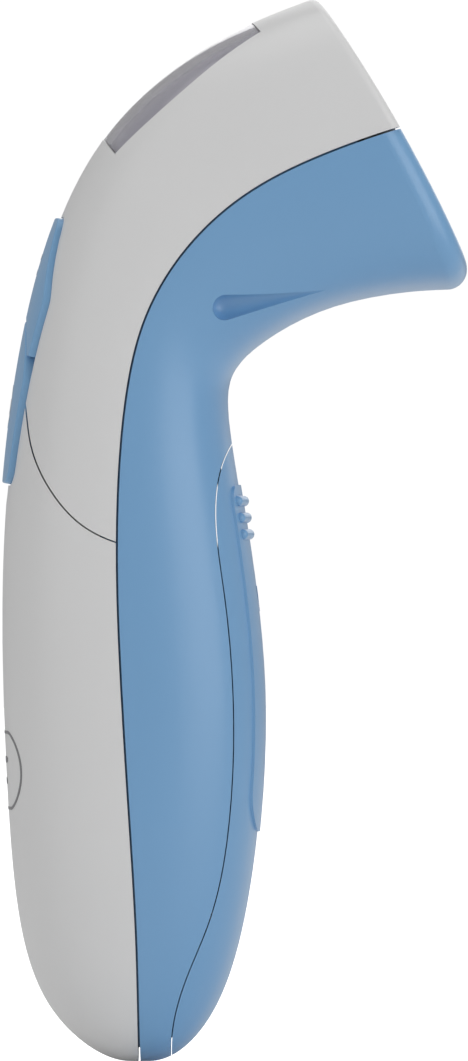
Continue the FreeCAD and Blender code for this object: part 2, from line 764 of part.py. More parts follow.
key_rim_check = key_outer.Shells[0]
scan_key = make_key(scan_zone(-split, 0), scan_zone(-split - key_skin, -1), scan_switch_at)
mode_key = make_key(mode_zone(-split, key_horn), mode_zone(-split - key_skin, key_horn), mode_switch_at)
key_board_back = key_board_face - board_thick
key_board = keys.box(
    (key_board_start, key_board_end), (-key_board_width / 2, key_board_width / 2), (key_board_back, key_board_face),
)
key_screws = []
for u in board_screws_at:
    for v in (-board_screw_side, board_screw_side):
        key_board = key_board.cut(keys.rod(u, v, (key_board_back - 1, key_board_face + 1), screw_shank))
        key_screws.append(board_screw(keys, u, v, key_board_back))


def switch_with_plunger(u):
    """A tactile switch's housing and its plunger, which slides in the housing."""
    half = switch_side / 2
    housing = keys.box((u - half, u + half), (-half, half), (key_board_face, switch_top))
    housing = housing.cut(keys.rod(u, 0, (switch_top - 2 * key_travel - 0.3, switch_top + 1), plunger_radius + 0.1))
    plunger = keys.rod(u, 0, (switch_top - key_travel - 0.15, plunger_top), plunger_radius)
    return housing, plunger


scan_switch, scan_plunger = switch_with_plunger(scan_switch_at)
mode_switch, mode_plunger = switch_with_plunger(mode_switch_at)
buzzer = keys.rod(buzzer_at, 0, (key_board_back - buzzer_height, key_board_back), buzzer_radius)
buzzer = buzzer.cut(keys.rod(buzzer_at, 0, (key_board_back - buzzer_height - 1, key_board_back - buzzer_height + 0.6), 1.2))

# ---- mouth and sensor ---------------------------------------------------------------------------------------
bezel_radius = mouth_radius - mouth_fit
flange_top = -mouth_wall - 0.6
dish_bottom = -bezel_setback - dish_depth
seat_end = dish_bottom - 4.0
dish_slope = (bezel_radius - bezel_rim - sensor_bore) / dish_depth
bezel = mouth.turned([
    (bezel_radius - bezel_rim, -bezel_setback), (bezel_radius, -bezel_setback), (bezel_radius, flange_top),
    (bezel_radius + bezel_flange, flange_top), (bezel_radius + bezel_flange, flange_top - bezel_skin),
    (bezel_radius - 1, flange_top - bezel_skin), (sensor_bore + bezel_skin, dish_bottom - 0.6),
    (sensor_bore + bezel_skin, seat_end), (sensor_bore, seat_end), (sensor_bore, dish_bottom),
])
barrel_radius = sensor_bore - barrel_fit
barrel_front = dish_bottom + 0.5
barrel_back = barrel_front - barrel_length
barrel_bore = barrel_radius - barrel_skin
sight_radius = barrel_bore - 0.9
barrel = mouth.turned([
    (sight_radius + 0.3, barrel_front), (barrel_radius, barrel_front), (barrel_radius, seat_end - 0.05),
    (barrel_radius + 2, seat_end - 0.05), (barrel_radius + 2, barrel_back), (barrel_bore, barrel_back),
    (barrel_bore, barrel_front - 0.8), (sight_radius, barrel_front - 0.8),
])
ir_window = mouth.rod(0, 0, (barrel_front - 0.85 - ir_window_thick, barrel_front - 0.85), barrel_bore - 0.05)
can_back = barrel_back + 1.2
can_foot = can_back + can_foot_thick
can = mouth.turned([
    (0, can_back), (can_foot_radius, can_back), (can_foot_radius, can_foot), (can_cap_radius, can_foot),
    (can_cap_radius, can_foot + can_height), (can_cap_radius - 1.8, can_foot + can_height),
    (can_cap_radius - 1.8, can_foot + can_height - 0.3), (0, can_foot + can_height - 0.3),
])
sensor_board_face = barrel_back - 0.05
sensor_board_back = sensor_board_face - sensor_board_thick
sensor_board = mouth.rod(0, 0, (sensor_board_back, sensor_board_face), barrel_radius + 1.8)
pins = []
for i in range(4):
    angle = math.radians(45 + 90 * i)
    u = pin_circle * math.cos(angle)
    v = pin_circle * math.sin(angle)
    pins.append(mouth.rod(u, v, (sensor_board_back - 0.6, can_back), pin_radius))
    sensor_board = sensor_board.cut(mouth.rod(u, v, (sensor_board_back - 1, sensor_board_face + 1), pin_radius + 0.05))
cable = []
for i in range(4):
    v = (i - 1.5) * 2.2 * wire_radius
    cable.append(lead_wire(
        mouth.point(4.6, v, sensor_board_back), -mouth.w, display.point(-1.5, v - 5.5, display_board_back), display.w,
    ))

# ---- battery bay --------------------------------------------------------------------------------------------
cells_back = cell_axis - cell_radius
left_y = -cell_pitch / 2
right_y = cell_pitch / 2
low_plate = bay_bottom + contact_thick
high_plate = bay_top - contact_thick


def upright(y, low, high, radius, x=cell_axis):
    """A round bar standing in the bay."""
    return Part.makeCylinder(radius, high - low, Vector(x, y, low))


def cell(y, low, nub_up):
    """A dry cell with its positive nub up or down, standing on its lower end."""
    if nub_up:
        return upright(y, low, low + cell_length - nub_height, cell_radius).fuse(upright(y, low + 1, low + cell_length, nub_radius))
    return upright(y, low + nub_height, low + cell_length, cell_radius).fuse(upright(y, low, low + cell_length - 1, nub_radius))


def contact_spring(y, plate, way):
    """A conical contact spring on its plate, wound up or down."""
    steps = 14 * spring_turns
    line = []
    for i in range(steps + 1):
        angle = 2 * math.pi * i / 14
        radius = spring_base_radius + (spring_top_radius - spring_base_radius) * i / steps
        rise = spring_wire + (spring_height - 2 * spring_wire) * i / steps
        line.append(Vector(cell_axis + radius * math.cos(angle), y + way * radius * math.sin(angle), plate + way * rise))
    return wire_along(line, spring_wire, line[1] - line[0], line[-1] - line[-2])


battery_left = cell(left_y, low_plate + spring_height, True)
battery_right = cell(right_y, low_plate, False)
spring_left = contact_spring(left_y, low_plate, 1)
spring_right = contact_spring(right_y, high_plate, -1)
plate_x = (cell_axis - contact_half, cell_axis + contact_half)
bridge = box(plate_x, (left_y - contact_half, right_y + contact_half), (bay_bottom, low_plate))
lug_x = (cell_axis - 1, cell_axis + 1)
lug_top = bay_top + tray_end + 1.5


def top_contact(y):
    """A plate at the bay's top with a solder lug through the tray's end wall."""
    plate = box(plate_x, (y - contact_half, y + contact_half), (high_plate, bay_top))
    return plate.fuse(box(lug_x, (y - contact_thick / 2, y + contact_thick / 2), (high_plate, lug_top)))


positive_contact = top_contact(left_y)
negative_contact = top_contact(right_y)

side_y = cell_pitch / 2 + cell_radius + cell_clearance
tray_back = cells_back - cell_clearance - tray_floor
tray_front = cells_front - tray_front_back
tray = box((tray_back, tray_front), (-side_y - tray_side, side_y + tray_side), (tray_bottom, bay_top + tray_end))
tray = tray.cut(box((cell_axis, FAR), (-side_y, side_y), (bay_bottom, bay_top)))
tray = tray.fuse(box((tray_front - 1, cells_front - door_rib_back - 0.2), (left_y, right_y), (tray_bottom, bay_bottom)))
rebate_y = (left_y - contact_half - 0.1, right_y + contact_half + 0.1)
for z in (bay_bottom, bay_top - contact_thick - 0.1):
    rebate_x = (plate_x[0] - 0.1, plate_x[1] + 0.1)
    tray = tray.cut(box(rebate_x, rebate_y, (z, z + contact_thick + 0.1)))
for y in (left_y, right_y):
    tray = tray.cut(upright(y, bay_bottom, bay_top, cell_radius + cell_clearance))
    slot = box((lug_x[0] - 0.1, lug_x[1] + 0.1), (y - contact_thick / 2 - 0.1, y + contact_thick / 2 + 0.1), (bay_top - 1, lug_top))
    tray = tray.cut(slot)
for (z, seat), inner_end, way in zip(case_screw_seats, (bay_top + tray_end, tray_bottom), (1, -1)):
    tab_front = seat - web_thick - lip_clearance
    ends = sorted((inner_end - way * 1.0, z + way * (boss_radius + 0.6)))
    tab = box((tab_front - tab_thick, tab_front), (-web_half, web_half), ends)
    tray = tray.fuse(tab)
    tray = tray.cut(Part.makeCylinder(screw_shank + 0.1, 4 * tab_thick, Vector(tab_front - 2 * tab_thick, 0, z), Vector(1, 0, 0)))

solder_z = lug_top - 0.8
leads = []
for y in (left_y, right_y):
    start = Vector(lug_x[0], y, solder_z)
    leads.append(lead_wire(start, Vector(-1, 0, 0), keys.point(9.5, y, key_board_back), keys.w))

# ---- battery door -------------------------------------------------------------------------------------------
door_side = door_region(0)
door_shell = blue_form.common(door_side).cut(room)
plate_outline = Frame(Vector(0, 0, 0), Vector(0, 0, 1), Vector(1, 0, 0))
plate = prism(
    plate_outline,
    [(door_plate_bottom, -door_plate_half), (door_plate_top, -door_plate_half), (door_plate_top, door_plate_half),
     (door_plate_bottom, door_plate_half)],
    [6.0, 3.0, 3.0, 6.0],
)
door = door_shell.fuse(casing_body(-door_plate_proud).common(plate).common(door_side).cut(casing_body(wall / 2)))


def door_skin_point(y, z):
    """A point on the door's raised panel."""
    start = Vector(cell_axis, y, z)
    reach = casing_body(-door_plate_proud).common(Part.makeLine(start, start + Vector(FAR, 0, 0))).Length
    return start + Vector(reach, 0, 0)


for i in range(rib_count):
    z = rib_first - i * rib_pitch
    middle = door_skin_point(0, z)
    end = door_skin_point(rib_half, z)
    mirrored = Vector(end.x, -end.y, end.z)
    rib = pipe(Part.Arc(mirrored, middle, end), rib_radius)
    for tip in (end, mirrored):
        rib = rib.fuse(Part.makeSphere(rib_radius, tip))
    door = door.fuse(rib)

door_top = max(p.z for p in front_curve.discretize(Number=900) if p.z < 0.62 * body_height and door_side.isInside(p, 0.01, True))
tongue_room = casing_body(wall + tongue_clearance)
tongue_core = casing_body(wall + tongue_clearance + tongue_thick)
tongue_zone = box((cell_axis, FAR), (-tongue_half, tongue_half), (door_top - 4.0, door_top + tongue_reach))
root_zone = box((cell_axis, FAR), (-tongue_half, tongue_half), (door_top - 4.0, door_top - 1.0))
tongue = tongue_room.common(tongue_zone).cut(tongue_core)
root = casing_body(wall / 2).common(root_zone).common(door_side).cut(tongue_core)
door = door.fuse(tongue).fuse(root)

rib_side = door_rib_thick / 2
cell_rib = box((cells_front - door_rib_back, FAR), (-rib_side, rib_side), (tray_bottom, door_top - tongue_reach))
door = door.fuse(cell_rib.common(casing_body(wall / 2)))

# ---- screws -------------------------------------------------------------------------------------------------
case_screw_parts = []
for z, seat in case_screw_seats:
    shank = Part.makeCylinder(screw_core, screw_length, Vector(seat - screw_length, 0, z), Vector(1, 0, 0))
    head = Part.makeCylinder(screw_head_radius, screw_head_height, Vector(seat, 0, z), Vector(1, 0, 0))
    for turn in (0, 90):
        slot = box((seat + 0.5 * screw_head_height, seat + 2 * screw_head_height), (-0.3, 0.3), (-1.3, 1.3))
        slot.rotate(Vector(0, 0, 0), Vector(1, 0, 0), turn)
        head = head.cut(slot.translated(Vector(0, 0, z)))
    case_screw_parts.append(shank.fuse(head))

# ---- ribbon between the boards ------------------------------------------------------------------------------
half_ribbon = ribbon_thick / 2
ribbon_path = lead(
    keys.point(34.0, 0, key_board_back - half_ribbon - 0.02), keys.u,
    display.point(-12.0, 0, display_board_back - half_ribbon - 0.02), display.u,
)
ribbon = side_strip(ribbon_path.discretize(Number=9), ribbon_thick, ribbon_half)

# ---- named pieces -------------------------------------------------------------------------------------------
pieces = {
    "rear_cover_upper": upper_cover,
    "rear_cover_lower": lower_cover,
    "front_housing": front_housing,
    "battery_door": door,
    "scan_key": scan_key,
    "mode_key": mode_key,
    "display_window": window,
    "front_bezel": bezel,
    "lcd_panel": panel,
    "lcd_frame": lcd_frame,
    "backlight_panel": backlight,
    "lcd_connectors": connectors,
    "display_board": display_board,
    "display_board_chips": chips,
    "display_board_screws": display_screws,
    "key_board": key_board,
    "key_board_screws": key_screws,
    "scan_switch": scan_switch,
    "scan_switch_plunger": scan_plunger,
    "mode_switch": mode_switch,
    "mode_switch_plunger": mode_plunger,
    "buzzer": buzzer,
    "board_ribbon": ribbon,
    "sensor_barrel": barrel,
    "sensor_ir_window": ir_window,
    "sensor_can": can,
    "sensor_pins": pins,
    "sensor_board": sensor_board,
    "sensor_cable": cable,
    "battery_tray": tray,
    "battery_left": battery_left,
    "battery_right": battery_right,
    "contact_spring_left": spring_left,
    "contact_spring_right": spring_right,
    "contact_bridge": bridge,
    "positive_contact": positive_contact,
    "negative_contact": negative_contact,
    "positive_lead": leads[0],
    "negative_lead": leads[1],
    "case_screws": case_screw_parts,
}

# The row's origin is under the middle of the whole object.
solids = {name: Part.makeCompound(part) if isinstance(part, list) else part for name, part in pieces.items()}
bounds = [solids[name].optimalBoundingBox(False) for name in ("rear_cover_upper", "rear_cover_lower", "front_housing", "scan_key", "mode_key", "battery_door")]
shift = Vector(
    -(min(b.XMin for b in bounds) + max(b.XMax for b in bounds)) / 2,
    0,
    -min(b.ZMin for b in bounds),
)
os.makedirs("parts", exist_ok=True)
for name, solid in solids.items():
    solid.translated(shift).exportStep("parts/" + name + ".step")
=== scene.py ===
"""Looks for a hand-held infrared thermometer: plastics, metals, printed marks, light and camera."""

import json
import math

import bpy
from mathutils import Matrix, Vector


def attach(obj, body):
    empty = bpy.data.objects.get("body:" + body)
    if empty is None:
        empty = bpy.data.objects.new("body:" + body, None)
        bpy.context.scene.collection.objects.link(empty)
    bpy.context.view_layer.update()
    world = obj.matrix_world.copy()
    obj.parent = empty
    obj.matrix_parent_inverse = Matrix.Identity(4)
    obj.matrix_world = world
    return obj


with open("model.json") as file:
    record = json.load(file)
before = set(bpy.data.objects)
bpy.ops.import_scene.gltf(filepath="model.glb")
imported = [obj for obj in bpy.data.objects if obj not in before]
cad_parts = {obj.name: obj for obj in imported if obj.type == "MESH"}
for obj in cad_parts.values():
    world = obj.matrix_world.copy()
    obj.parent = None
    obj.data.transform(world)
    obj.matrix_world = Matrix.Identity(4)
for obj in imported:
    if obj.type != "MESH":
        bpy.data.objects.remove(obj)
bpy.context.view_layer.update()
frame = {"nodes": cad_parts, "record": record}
nodes = frame["nodes"]

MM = 0.001

# ---- camera, floor and light ---------------------------------------------------------------------
VIEW_HEIGHT = 150.2 * MM
CAMERA_DISTANCE = 2.0
SENSOR_HEIGHT = 24.0
CLIP_RANGE = (0.01, 20.0)
AIM = Vector((-0.08 * MM, 0.0, 75.05 * MM))
WHITE = (1.0, 1.0, 1.0, 1.0)
SURROUND_GLOW = 0.36  # on the object
SURROUND_SEEN = 1.02  # by the camera
FLOOR_SIZE = 8.0
FLOOR_DROP = 0.4 * MM
FLOOR_TONE = (0.80, 0.80, 0.80, 1.0)
FLOOR_GLOW = 0.05  # on the object
FLOOR_SEEN = 1.0  # by the camera
PANELS = (  # name, place, size and power
    ("right_panel", (1.05, -0.85, 0.25), (1.2, 1.3), 8.0),
    ("left_panel", (-0.95, -0.75, 0.35), (0.9, 1.2), 1.6),
    ("top_panel", (-0.15, -0.1, 1.2), (1.2, 1.2), 4.0),
    ("rim_panel", (0.25, 1.0, 0.6), (0.9, 0.9), 2.0),
)


def add_camera():
    """A long lens that looks along +Y, level with the middle of the handle."""
    place = AIM + Vector((0, -CAMERA_DISTANCE, 0))
    bpy.ops.object.camera_add(location=place, rotation=(math.pi / 2, 0, 0))
    camera = bpy.context.object
    camera.name = "camera"
    camera.data.sensor_fit = "VERTICAL"
    camera.data.sensor_height = SENSOR_HEIGHT
    camera.data.lens = SENSOR_HEIGHT * CAMERA_DISTANCE / VIEW_HEIGHT
    camera.data.clip_start, camera.data.clip_end = CLIP_RANGE
    bpy.context.scene.camera = camera


def add_area_light(name, place, size, power):
    """A soft box that faces the middle of the object."""
    bpy.ops.object.light_add(type="AREA", location=place)
    light = bpy.context.object
    light.name = name
    light.data.shape = "RECTANGLE"
    light.data.size, light.data.size_y = size
    light.data.energy = power
    towards = AIM - Vector(place)
    light.rotation_euler = towards.to_track_quat("-Z", "Y").to_euler()


def glow_by_viewer(tree, strength, on_object, seen):
    """Gives a strength one value for the light on the object and another for what the camera sees."""
    viewer = tree.nodes.new("ShaderNodeLightPath")
    glow = tree.nodes.new("ShaderNodeMapRange")
    tree.links.new(viewer.outputs["Is Camera Ray"], glow.inputs["Value"])
    glow.inputs["To Min"].default_value = on_object
    glow.inputs["To Max"].default_value = seen
    tree.links.new(glow.outputs["Result"], strength)


def add_surround():
    """White paper all round: full white to the camera, and a softer glow on the object."""
    world = bpy.data.worlds.new("surround")
    bpy.context.scene.world = world
    world.use_nodes = True
    tree = world.node_tree
    background = tree.nodes["Background"]
    background.inputs["Color"].default_value = WHITE
    glow_by_viewer(tree, background.inputs["Strength"], SURROUND_GLOW, SURROUND_SEEN)


def add_floor():
    """A wide pale floor just under the lowest point."""
    bpy.ops.object.select_all(action="DESELECT")
    bpy.ops.mesh.primitive_plane_add(size=FLOOR_SIZE, location=(0, 0, -FLOOR_DROP))
    floor = bpy.context.object
    floor.name = "floor"
    material = bpy.data.materials.new("floor_paper")
    material.use_nodes = True
    tree = material.node_tree
    shader = tree.nodes["Principled BSDF"]
    shader.inputs["Base Color"].default_value = FLOOR_TONE
    shader.inputs["Roughness"].default_value = 0.9
    shader.inputs["Emission Color"].default_value = WHITE
    glow_by_viewer(tree, shader.inputs["Emission Strength"], FLOOR_GLOW, FLOOR_SEEN)
    floor.data.materials.append(material)


def add_studio():
    add_surround()
    add_floor()
    for panel in PANELS:
        add_area_light(*panel)


# ---- node helpers --------------------------------------------------------------------------------
def new_node(tree, kind, x=0, y=0, **settings):
    node = tree.nodes.new(kind)
    node.location = (x, y)
    for name, value in settings.items():
        setattr(node, name, value)
    return node


def put(tree, source, target):
    tree.links.new(source, target)


def group_tree(name, inputs, outputs):
    """An empty shader node group with named sockets; inputs and outputs are (name, kind, default) rows."""
    tree = bpy.data.node_groups.new(name, "ShaderNodeTree")
    for label, kind, default in inputs:
        socket = tree.interface.new_socket(label, in_out="INPUT", socket_type=kind)
        if default is not None:
            socket.default_value = default
    for label, kind in outputs:
        tree.interface.new_socket(label, in_out="OUTPUT", socket_type=kind)
    start = new_node(tree, "NodeGroupInput", -900, 0)
    end = new_node(tree, "NodeGroupOutput", 700, 0)
    return tree, start, end


def math_node(tree, operation, a, b=None, x=0, y=0):
    """A maths node whose inputs are sockets or numbers."""
    node = new_node(tree, "ShaderNodeMath", x, y, operation=operation)
    for index, value in enumerate((a, b)):
        if value is None:
            continue
        if isinstance(value, (int, float)):
            node.inputs[index].default_value = value
        else:
            put(tree, value, node.inputs[index])
    return node.outputs[0]


def noise(tree, coords, scale, detail, roughness, x=0, y=0):
    node = new_node(tree, "ShaderNodeTexNoise", x, y)
    node.inputs["Detail"].default_value = detail
    node.inputs["Roughness"].default_value = roughness
    if isinstance(scale, (int, float)):
        node.inputs["Scale"].default_value = scale
    else:
        put(tree, scale, node.inputs["Scale"])
    put(tree, coords, node.inputs["Vector"])
    return node.outputs["Fac"]


def spread(tree, value, low, high, to_low=0.0, to_high=1.0, x=0, y=0):
    """Carries a value from one range to another."""
    node = new_node(tree, "ShaderNodeMapRange", x, y)
    put(tree, value, node.inputs["Value"])
    for label, number in zip(("From Min", "From Max", "To Min", "To Max"), (low, high, to_low, to_high)):
        node.inputs[label].default_value = number
    return node.outputs["Result"]


SINK_WAVE_SCALE = 55.0
SINK_WAVE_DEPTH = 0.12
SMUDGE_SCALE = 90.0


def build_moulded_skin():
    """Spark-eroded plastic: a very fine grain, faint sink waves and slightly uneven gloss."""
    tree, start, end = group_tree(
        "moulded_skin",
        [("Colour", "NodeSocketColor", (0.8, 0.8, 0.8, 1.0)), ("Grain Scale", "NodeSocketFloat", 9000.0),
         ("Grain Depth", "NodeSocketFloat", 0.12), ("Gloss Low", "NodeSocketFloat", 0.26),
         ("Gloss High", "NodeSocketFloat", 0.36), ("Tone Drift", "NodeSocketFloat", 0.03)],
        [("Colour", "NodeSocketColor"), ("Roughness", "NodeSocketFloat"), ("Height", "NodeSocketFloat")],
    )
    coords = new_node(tree, "ShaderNodeTexCoord", -900, -300).outputs["Object"]
    grain = noise(tree, coords, start.outputs["Grain Scale"], 2.0, 0.6, -600, 200)
    wave = noise(tree, coords, SINK_WAVE_SCALE, 1.0, 0.4, -600, -100)
    smudge = noise(tree, coords, SMUDGE_SCALE, 2.0, 0.5, -600, -400)
    height = math_node(tree, "MULTIPLY", grain, start.outputs["Grain Depth"], -300, 200)
    sink = math_node(tree, "MULTIPLY", wave, SINK_WAVE_DEPTH, -300, 0)
    height = math_node(tree, "ADD", height, sink, -100, 150)
    put(tree, height, end.inputs["Height"])
    gloss = new_node(tree, "ShaderNodeMapRange", -100, -200)
    put(tree, smudge, gloss.inputs["Value"])
    gloss.inputs["From Min"].default_value = 0.25
    gloss.inputs["From Max"].default_value = 0.75
    put(tree, start.outputs["Gloss Low"], gloss.inputs["To Min"])
    put(tree, start.outputs["Gloss High"], gloss.inputs["To Max"])
    put(tree, gloss.outputs["Result"], end.inputs["Roughness"])
    centred = math_node(tree, "SUBTRACT", wave, 0.5, -300, -500)
    drift = math_node(tree, "MULTIPLY", centred, start.outputs["Tone Drift"], -100, -500)
    lift = math_node(tree, "ADD", drift, 1.0, 100, -500)
    shade = new_node(tree, "ShaderNodeVectorMath", 300, -400, operation="SCALE")
    put(tree, start.outputs["Colour"], shade.inputs[0])
    put(tree, lift, shade.inputs["Scale"])
    put(tree, shade.outputs["Vector"], end.inputs["Colour"])
    return tree


STREAK_STRETCH = 0.06
STREAK_DEPTH = 0.4
PATCH_SCALE = 420.0


def build_metal_skin():
    """Plated or turned metal: fine streaks, dulled patches and a little tarnish."""
    tree, start, end = group_tree(
        "metal_skin",
        [("Colour", "NodeSocketColor", (0.7, 0.7, 0.7, 1.0)),
         ("Tarnish", "NodeSocketColor", (0.3, 0.28, 0.25, 1.0)), ("Scale", "NodeSocketFloat", 2500.0),
         ("Roughness Low", "NodeSocketFloat", 0.18), ("Roughness High", "NodeSocketFloat", 0.42)],
        [("Colour", "NodeSocketColor"), ("Roughness", "NodeSocketFloat"), ("Height", "NodeSocketFloat")],
    )
    coords = new_node(tree, "ShaderNodeTexCoord", -1100, -300).outputs["Object"]
    stretch = new_node(tree, "ShaderNodeMapping", -900, 200)
    stretch.inputs["Scale"].default_value = (1.0, 1.0, STREAK_STRETCH)
    put(tree, coords, stretch.inputs["Vector"])
    streak = noise(tree, stretch.outputs["Vector"], start.outputs["Scale"], 2.0, 0.6, -600, 200)
    patch = noise(tree, coords, PATCH_SCALE, 4.0, 0.65, -600, -200)
    put(tree, math_node(tree, "MULTIPLY", streak, STREAK_DEPTH, -200, 200), end.inputs["Height"])
    gloss = new_node(tree, "ShaderNodeMapRange", -100, -100)
    put(tree, patch, gloss.inputs["Value"])
    gloss.inputs["From Min"].default_value = 0.35
    gloss.inputs["From Max"].default_value = 0.7
    put(tree, start.outputs["Roughness Low"], gloss.inputs["To Min"])
    put(tree, start.outputs["Roughness High"], gloss.inputs["To Max"])
    put(tree, gloss.outputs["Result"], end.inputs["Roughness"])
    mix = new_node(tree, "ShaderNodeMix", 200, -300, data_type="RGBA")
    put(tree, spread(tree, patch, 0.52, 0.8, 0.0, 0.55, -100, -400), mix.inputs["Factor"])
    put(tree, start.outputs["Colour"], mix.inputs["A"])
    put(tree, start.outputs["Tarnish"], mix.inputs["B"])
    put(tree, mix.outputs["Result"], end.inputs["Colour"])
    return tree


GROUPS = {"moulded_skin": build_moulded_skin(), "metal_skin": build_metal_skin()}


def start_material(name):
    """A new material with its tree and its Principled shader."""
    material = bpy.data.materials.new(name)
    material.use_nodes = True
    tree = material.node_tree
    shader = tree.nodes["Principled BSDF"]
    return material, tree, shader


def use_group(tree, name, x=-500, y=0, **values):
    """Places a shared effect with this material's own values."""
    node = new_node(tree, "ShaderNodeGroup", x, y)
    node.node_tree = GROUPS[name]
    for label, value in values.items():
        node.inputs[label.replace("_", " ")].default_value = value
    return node


def bump_from(tree, height, shader, distance):
    bump = new_node(tree, "ShaderNodeBump", -200, -300)
    bump.inputs["Strength"].default_value = 1.0
    bump.inputs["Distance"].default_value = distance
    put(tree, height, bump.inputs["Height"])
    put(tree, bump.outputs["Normal"], shader.inputs["Normal"])


GRAIN_BUMP = 0.02 * MM
FINE_BUMP = 0.01 * MM


def plastic(name, colour, gloss, depth=0.12, coat=0.0):
    """A moulded plastic of one colour."""
    material, tree, shader = start_material(name)
    skin = use_group(
        tree, "moulded_skin", Colour=(*colour, 1.0), Grain_Depth=depth,
        Gloss_Low=gloss[0], Gloss_High=gloss[1],
    )
    put(tree, skin.outputs["Colour"], shader.inputs["Base Color"])
    put(tree, skin.outputs["Roughness"], shader.inputs["Roughness"])
    bump_from(tree, skin.outputs["Height"], shader, GRAIN_BUMP)
    shader.inputs["IOR"].default_value = 1.5
    shader.inputs["Coat Weight"].default_value = coat
    shader.inputs["Coat Roughness"].default_value = 0.3
    return material


def metal(name, colour, tarnish, roughness=(0.18, 0.42)):
    """A metal with streaks and tarnish."""
    material, tree, shader = start_material(name)
    skin = use_group(
        tree, "metal_skin", Colour=(*colour, 1.0), Tarnish=(*tarnish, 1.0),
        Roughness_Low=roughness[0], Roughness_High=roughness[1],
    )
    put(tree, skin.outputs["Colour"], shader.inputs["Base Color"])
    put(tree, skin.outputs["Roughness"], shader.inputs["Roughness"])
    bump_from(tree, skin.outputs["Height"], shader, FINE_BUMP)
    shader.inputs["Metallic"].default_value = 1.0
    return material


WHITE_PLASTIC = (0.80, 0.80, 0.80)
BLUE_PLASTIC = (0.19, 0.41, 0.69)

materials = {
    "white_casing": plastic("white_casing", WHITE_PLASTIC, (0.36, 0.40), coat=0.15),
    "blue_casing": plastic("blue_casing", BLUE_PLASTIC, (0.34, 0.38), coat=0.6),
    "blue_key": plastic("blue_key", (0.21, 0.43, 0.70), (0.34, 0.38), coat=0.3),
    "grey_bezel": plastic("grey_bezel", (0.55, 0.58, 0.62), (0.42, 0.55), depth=0.3),
    "black_plastic": plastic("black_plastic", (0.020, 0.020, 0.022), (0.40, 0.55), depth=0.35),
    "chip_black": plastic("chip_black", (0.014, 0.014, 0.015), (0.45, 0.6), depth=0.5),
    "diffuser": plastic("diffuser", (0.80, 0.83, 0.85), (0.35, 0.5)),
    "zebra_rubber": plastic("zebra_rubber", (0.62, 0.30, 0.36), (0.6, 0.75)),
    "lcd_glass": plastic("lcd_glass", (0.30, 0.35, 0.33), (0.08, 0.14), depth=0.02, coat=0.5),
    "board_green": plastic("board_green", (0.010, 0.085, 0.040), (0.28, 0.42), depth=0.4, coat=0.4),
    "switch_brown": plastic("switch_brown", (0.10, 0.045, 0.025), (0.4, 0.5)),
    "ribbon_film": plastic("ribbon_film", (0.50, 0.19, 0.04), (0.22, 0.34)),
    "cable_white": plastic("cable_white", (0.62, 0.62, 0.62), (0.35, 0.5)),
    "lead_red": plastic("lead_red", (0.45, 0.012, 0.012), (0.32, 0.45)),
    "badge_ink": plastic("badge_ink", (0.22, 0.22, 0.23), (0.35, 0.45)),
    "key_ink": plastic("key_ink", (0.78, 0.80, 0.82), (0.35, 0.45)),
    "door_ink": plastic("door_ink", (0.10, 0.26, 0.50), (0.4, 0.5)),
    "lcd_ink": plastic("lcd_ink", (0.020, 0.024, 0.024), (0.25, 0.35)),
    "window_print": plastic("window_print", (0.84, 0.83, 0.88), (0.35, 0.45)),
    "lead_black": plastic("lead_black", (0.012, 0.012, 0.012), (0.32, 0.45)),
    "steel": metal("steel", (0.55, 0.55, 0.57), (0.28, 0.27, 0.26)),
    "nickel": metal("nickel", (0.66, 0.64, 0.60), (0.35, 0.31, 0.24)),
    "can_metal": metal("can_metal", (0.62, 0.58, 0.50), (0.36, 0.30, 0.20), (0.12, 0.28)),
    "ir_window": metal("ir_window", (0.16, 0.13, 0.12), (0.10, 0.09, 0.10), (0.06, 0.12)),
}


def clear_window_material():
    """Polished clear acrylic with a faint lilac tint."""
    material, tree, shader = start_material("clear_window")
    skin = use_group(
        tree, "moulded_skin", Colour=(0.86, 0.85, 0.90, 1.0), Grain_Scale=4000.0, Grain_Depth=0.02,
        Gloss_Low=0.04, Gloss_High=0.09, Tone_Drift=0.02,
    )
    put(tree, skin.outputs["Colour"], shader.inputs["Base Color"])
    put(tree, skin.outputs["Roughness"], shader.inputs["Roughness"])
    shader.inputs["IOR"].default_value = 1.49
    shader.inputs["Transmission Weight"].default_value = 0.85
    return material


materials["clear_window"] = clear_window_material()


STEEL_COLOUR = (0.55, 0.55, 0.57)
SLEEVE_COLOUR = (0.015, 0.022, 0.05)
COPPER_COLOUR = (0.62, 0.28, 0.10)
SLEEVE_START, SHOULDER_START, NUB_START = 0.012, 0.70, 0.965  # as shares of the cell's length
SLEEVE_MIDDLE, SLEEVE_REACH = 0.35, 0.338  # of the dull sleeve, along the cell


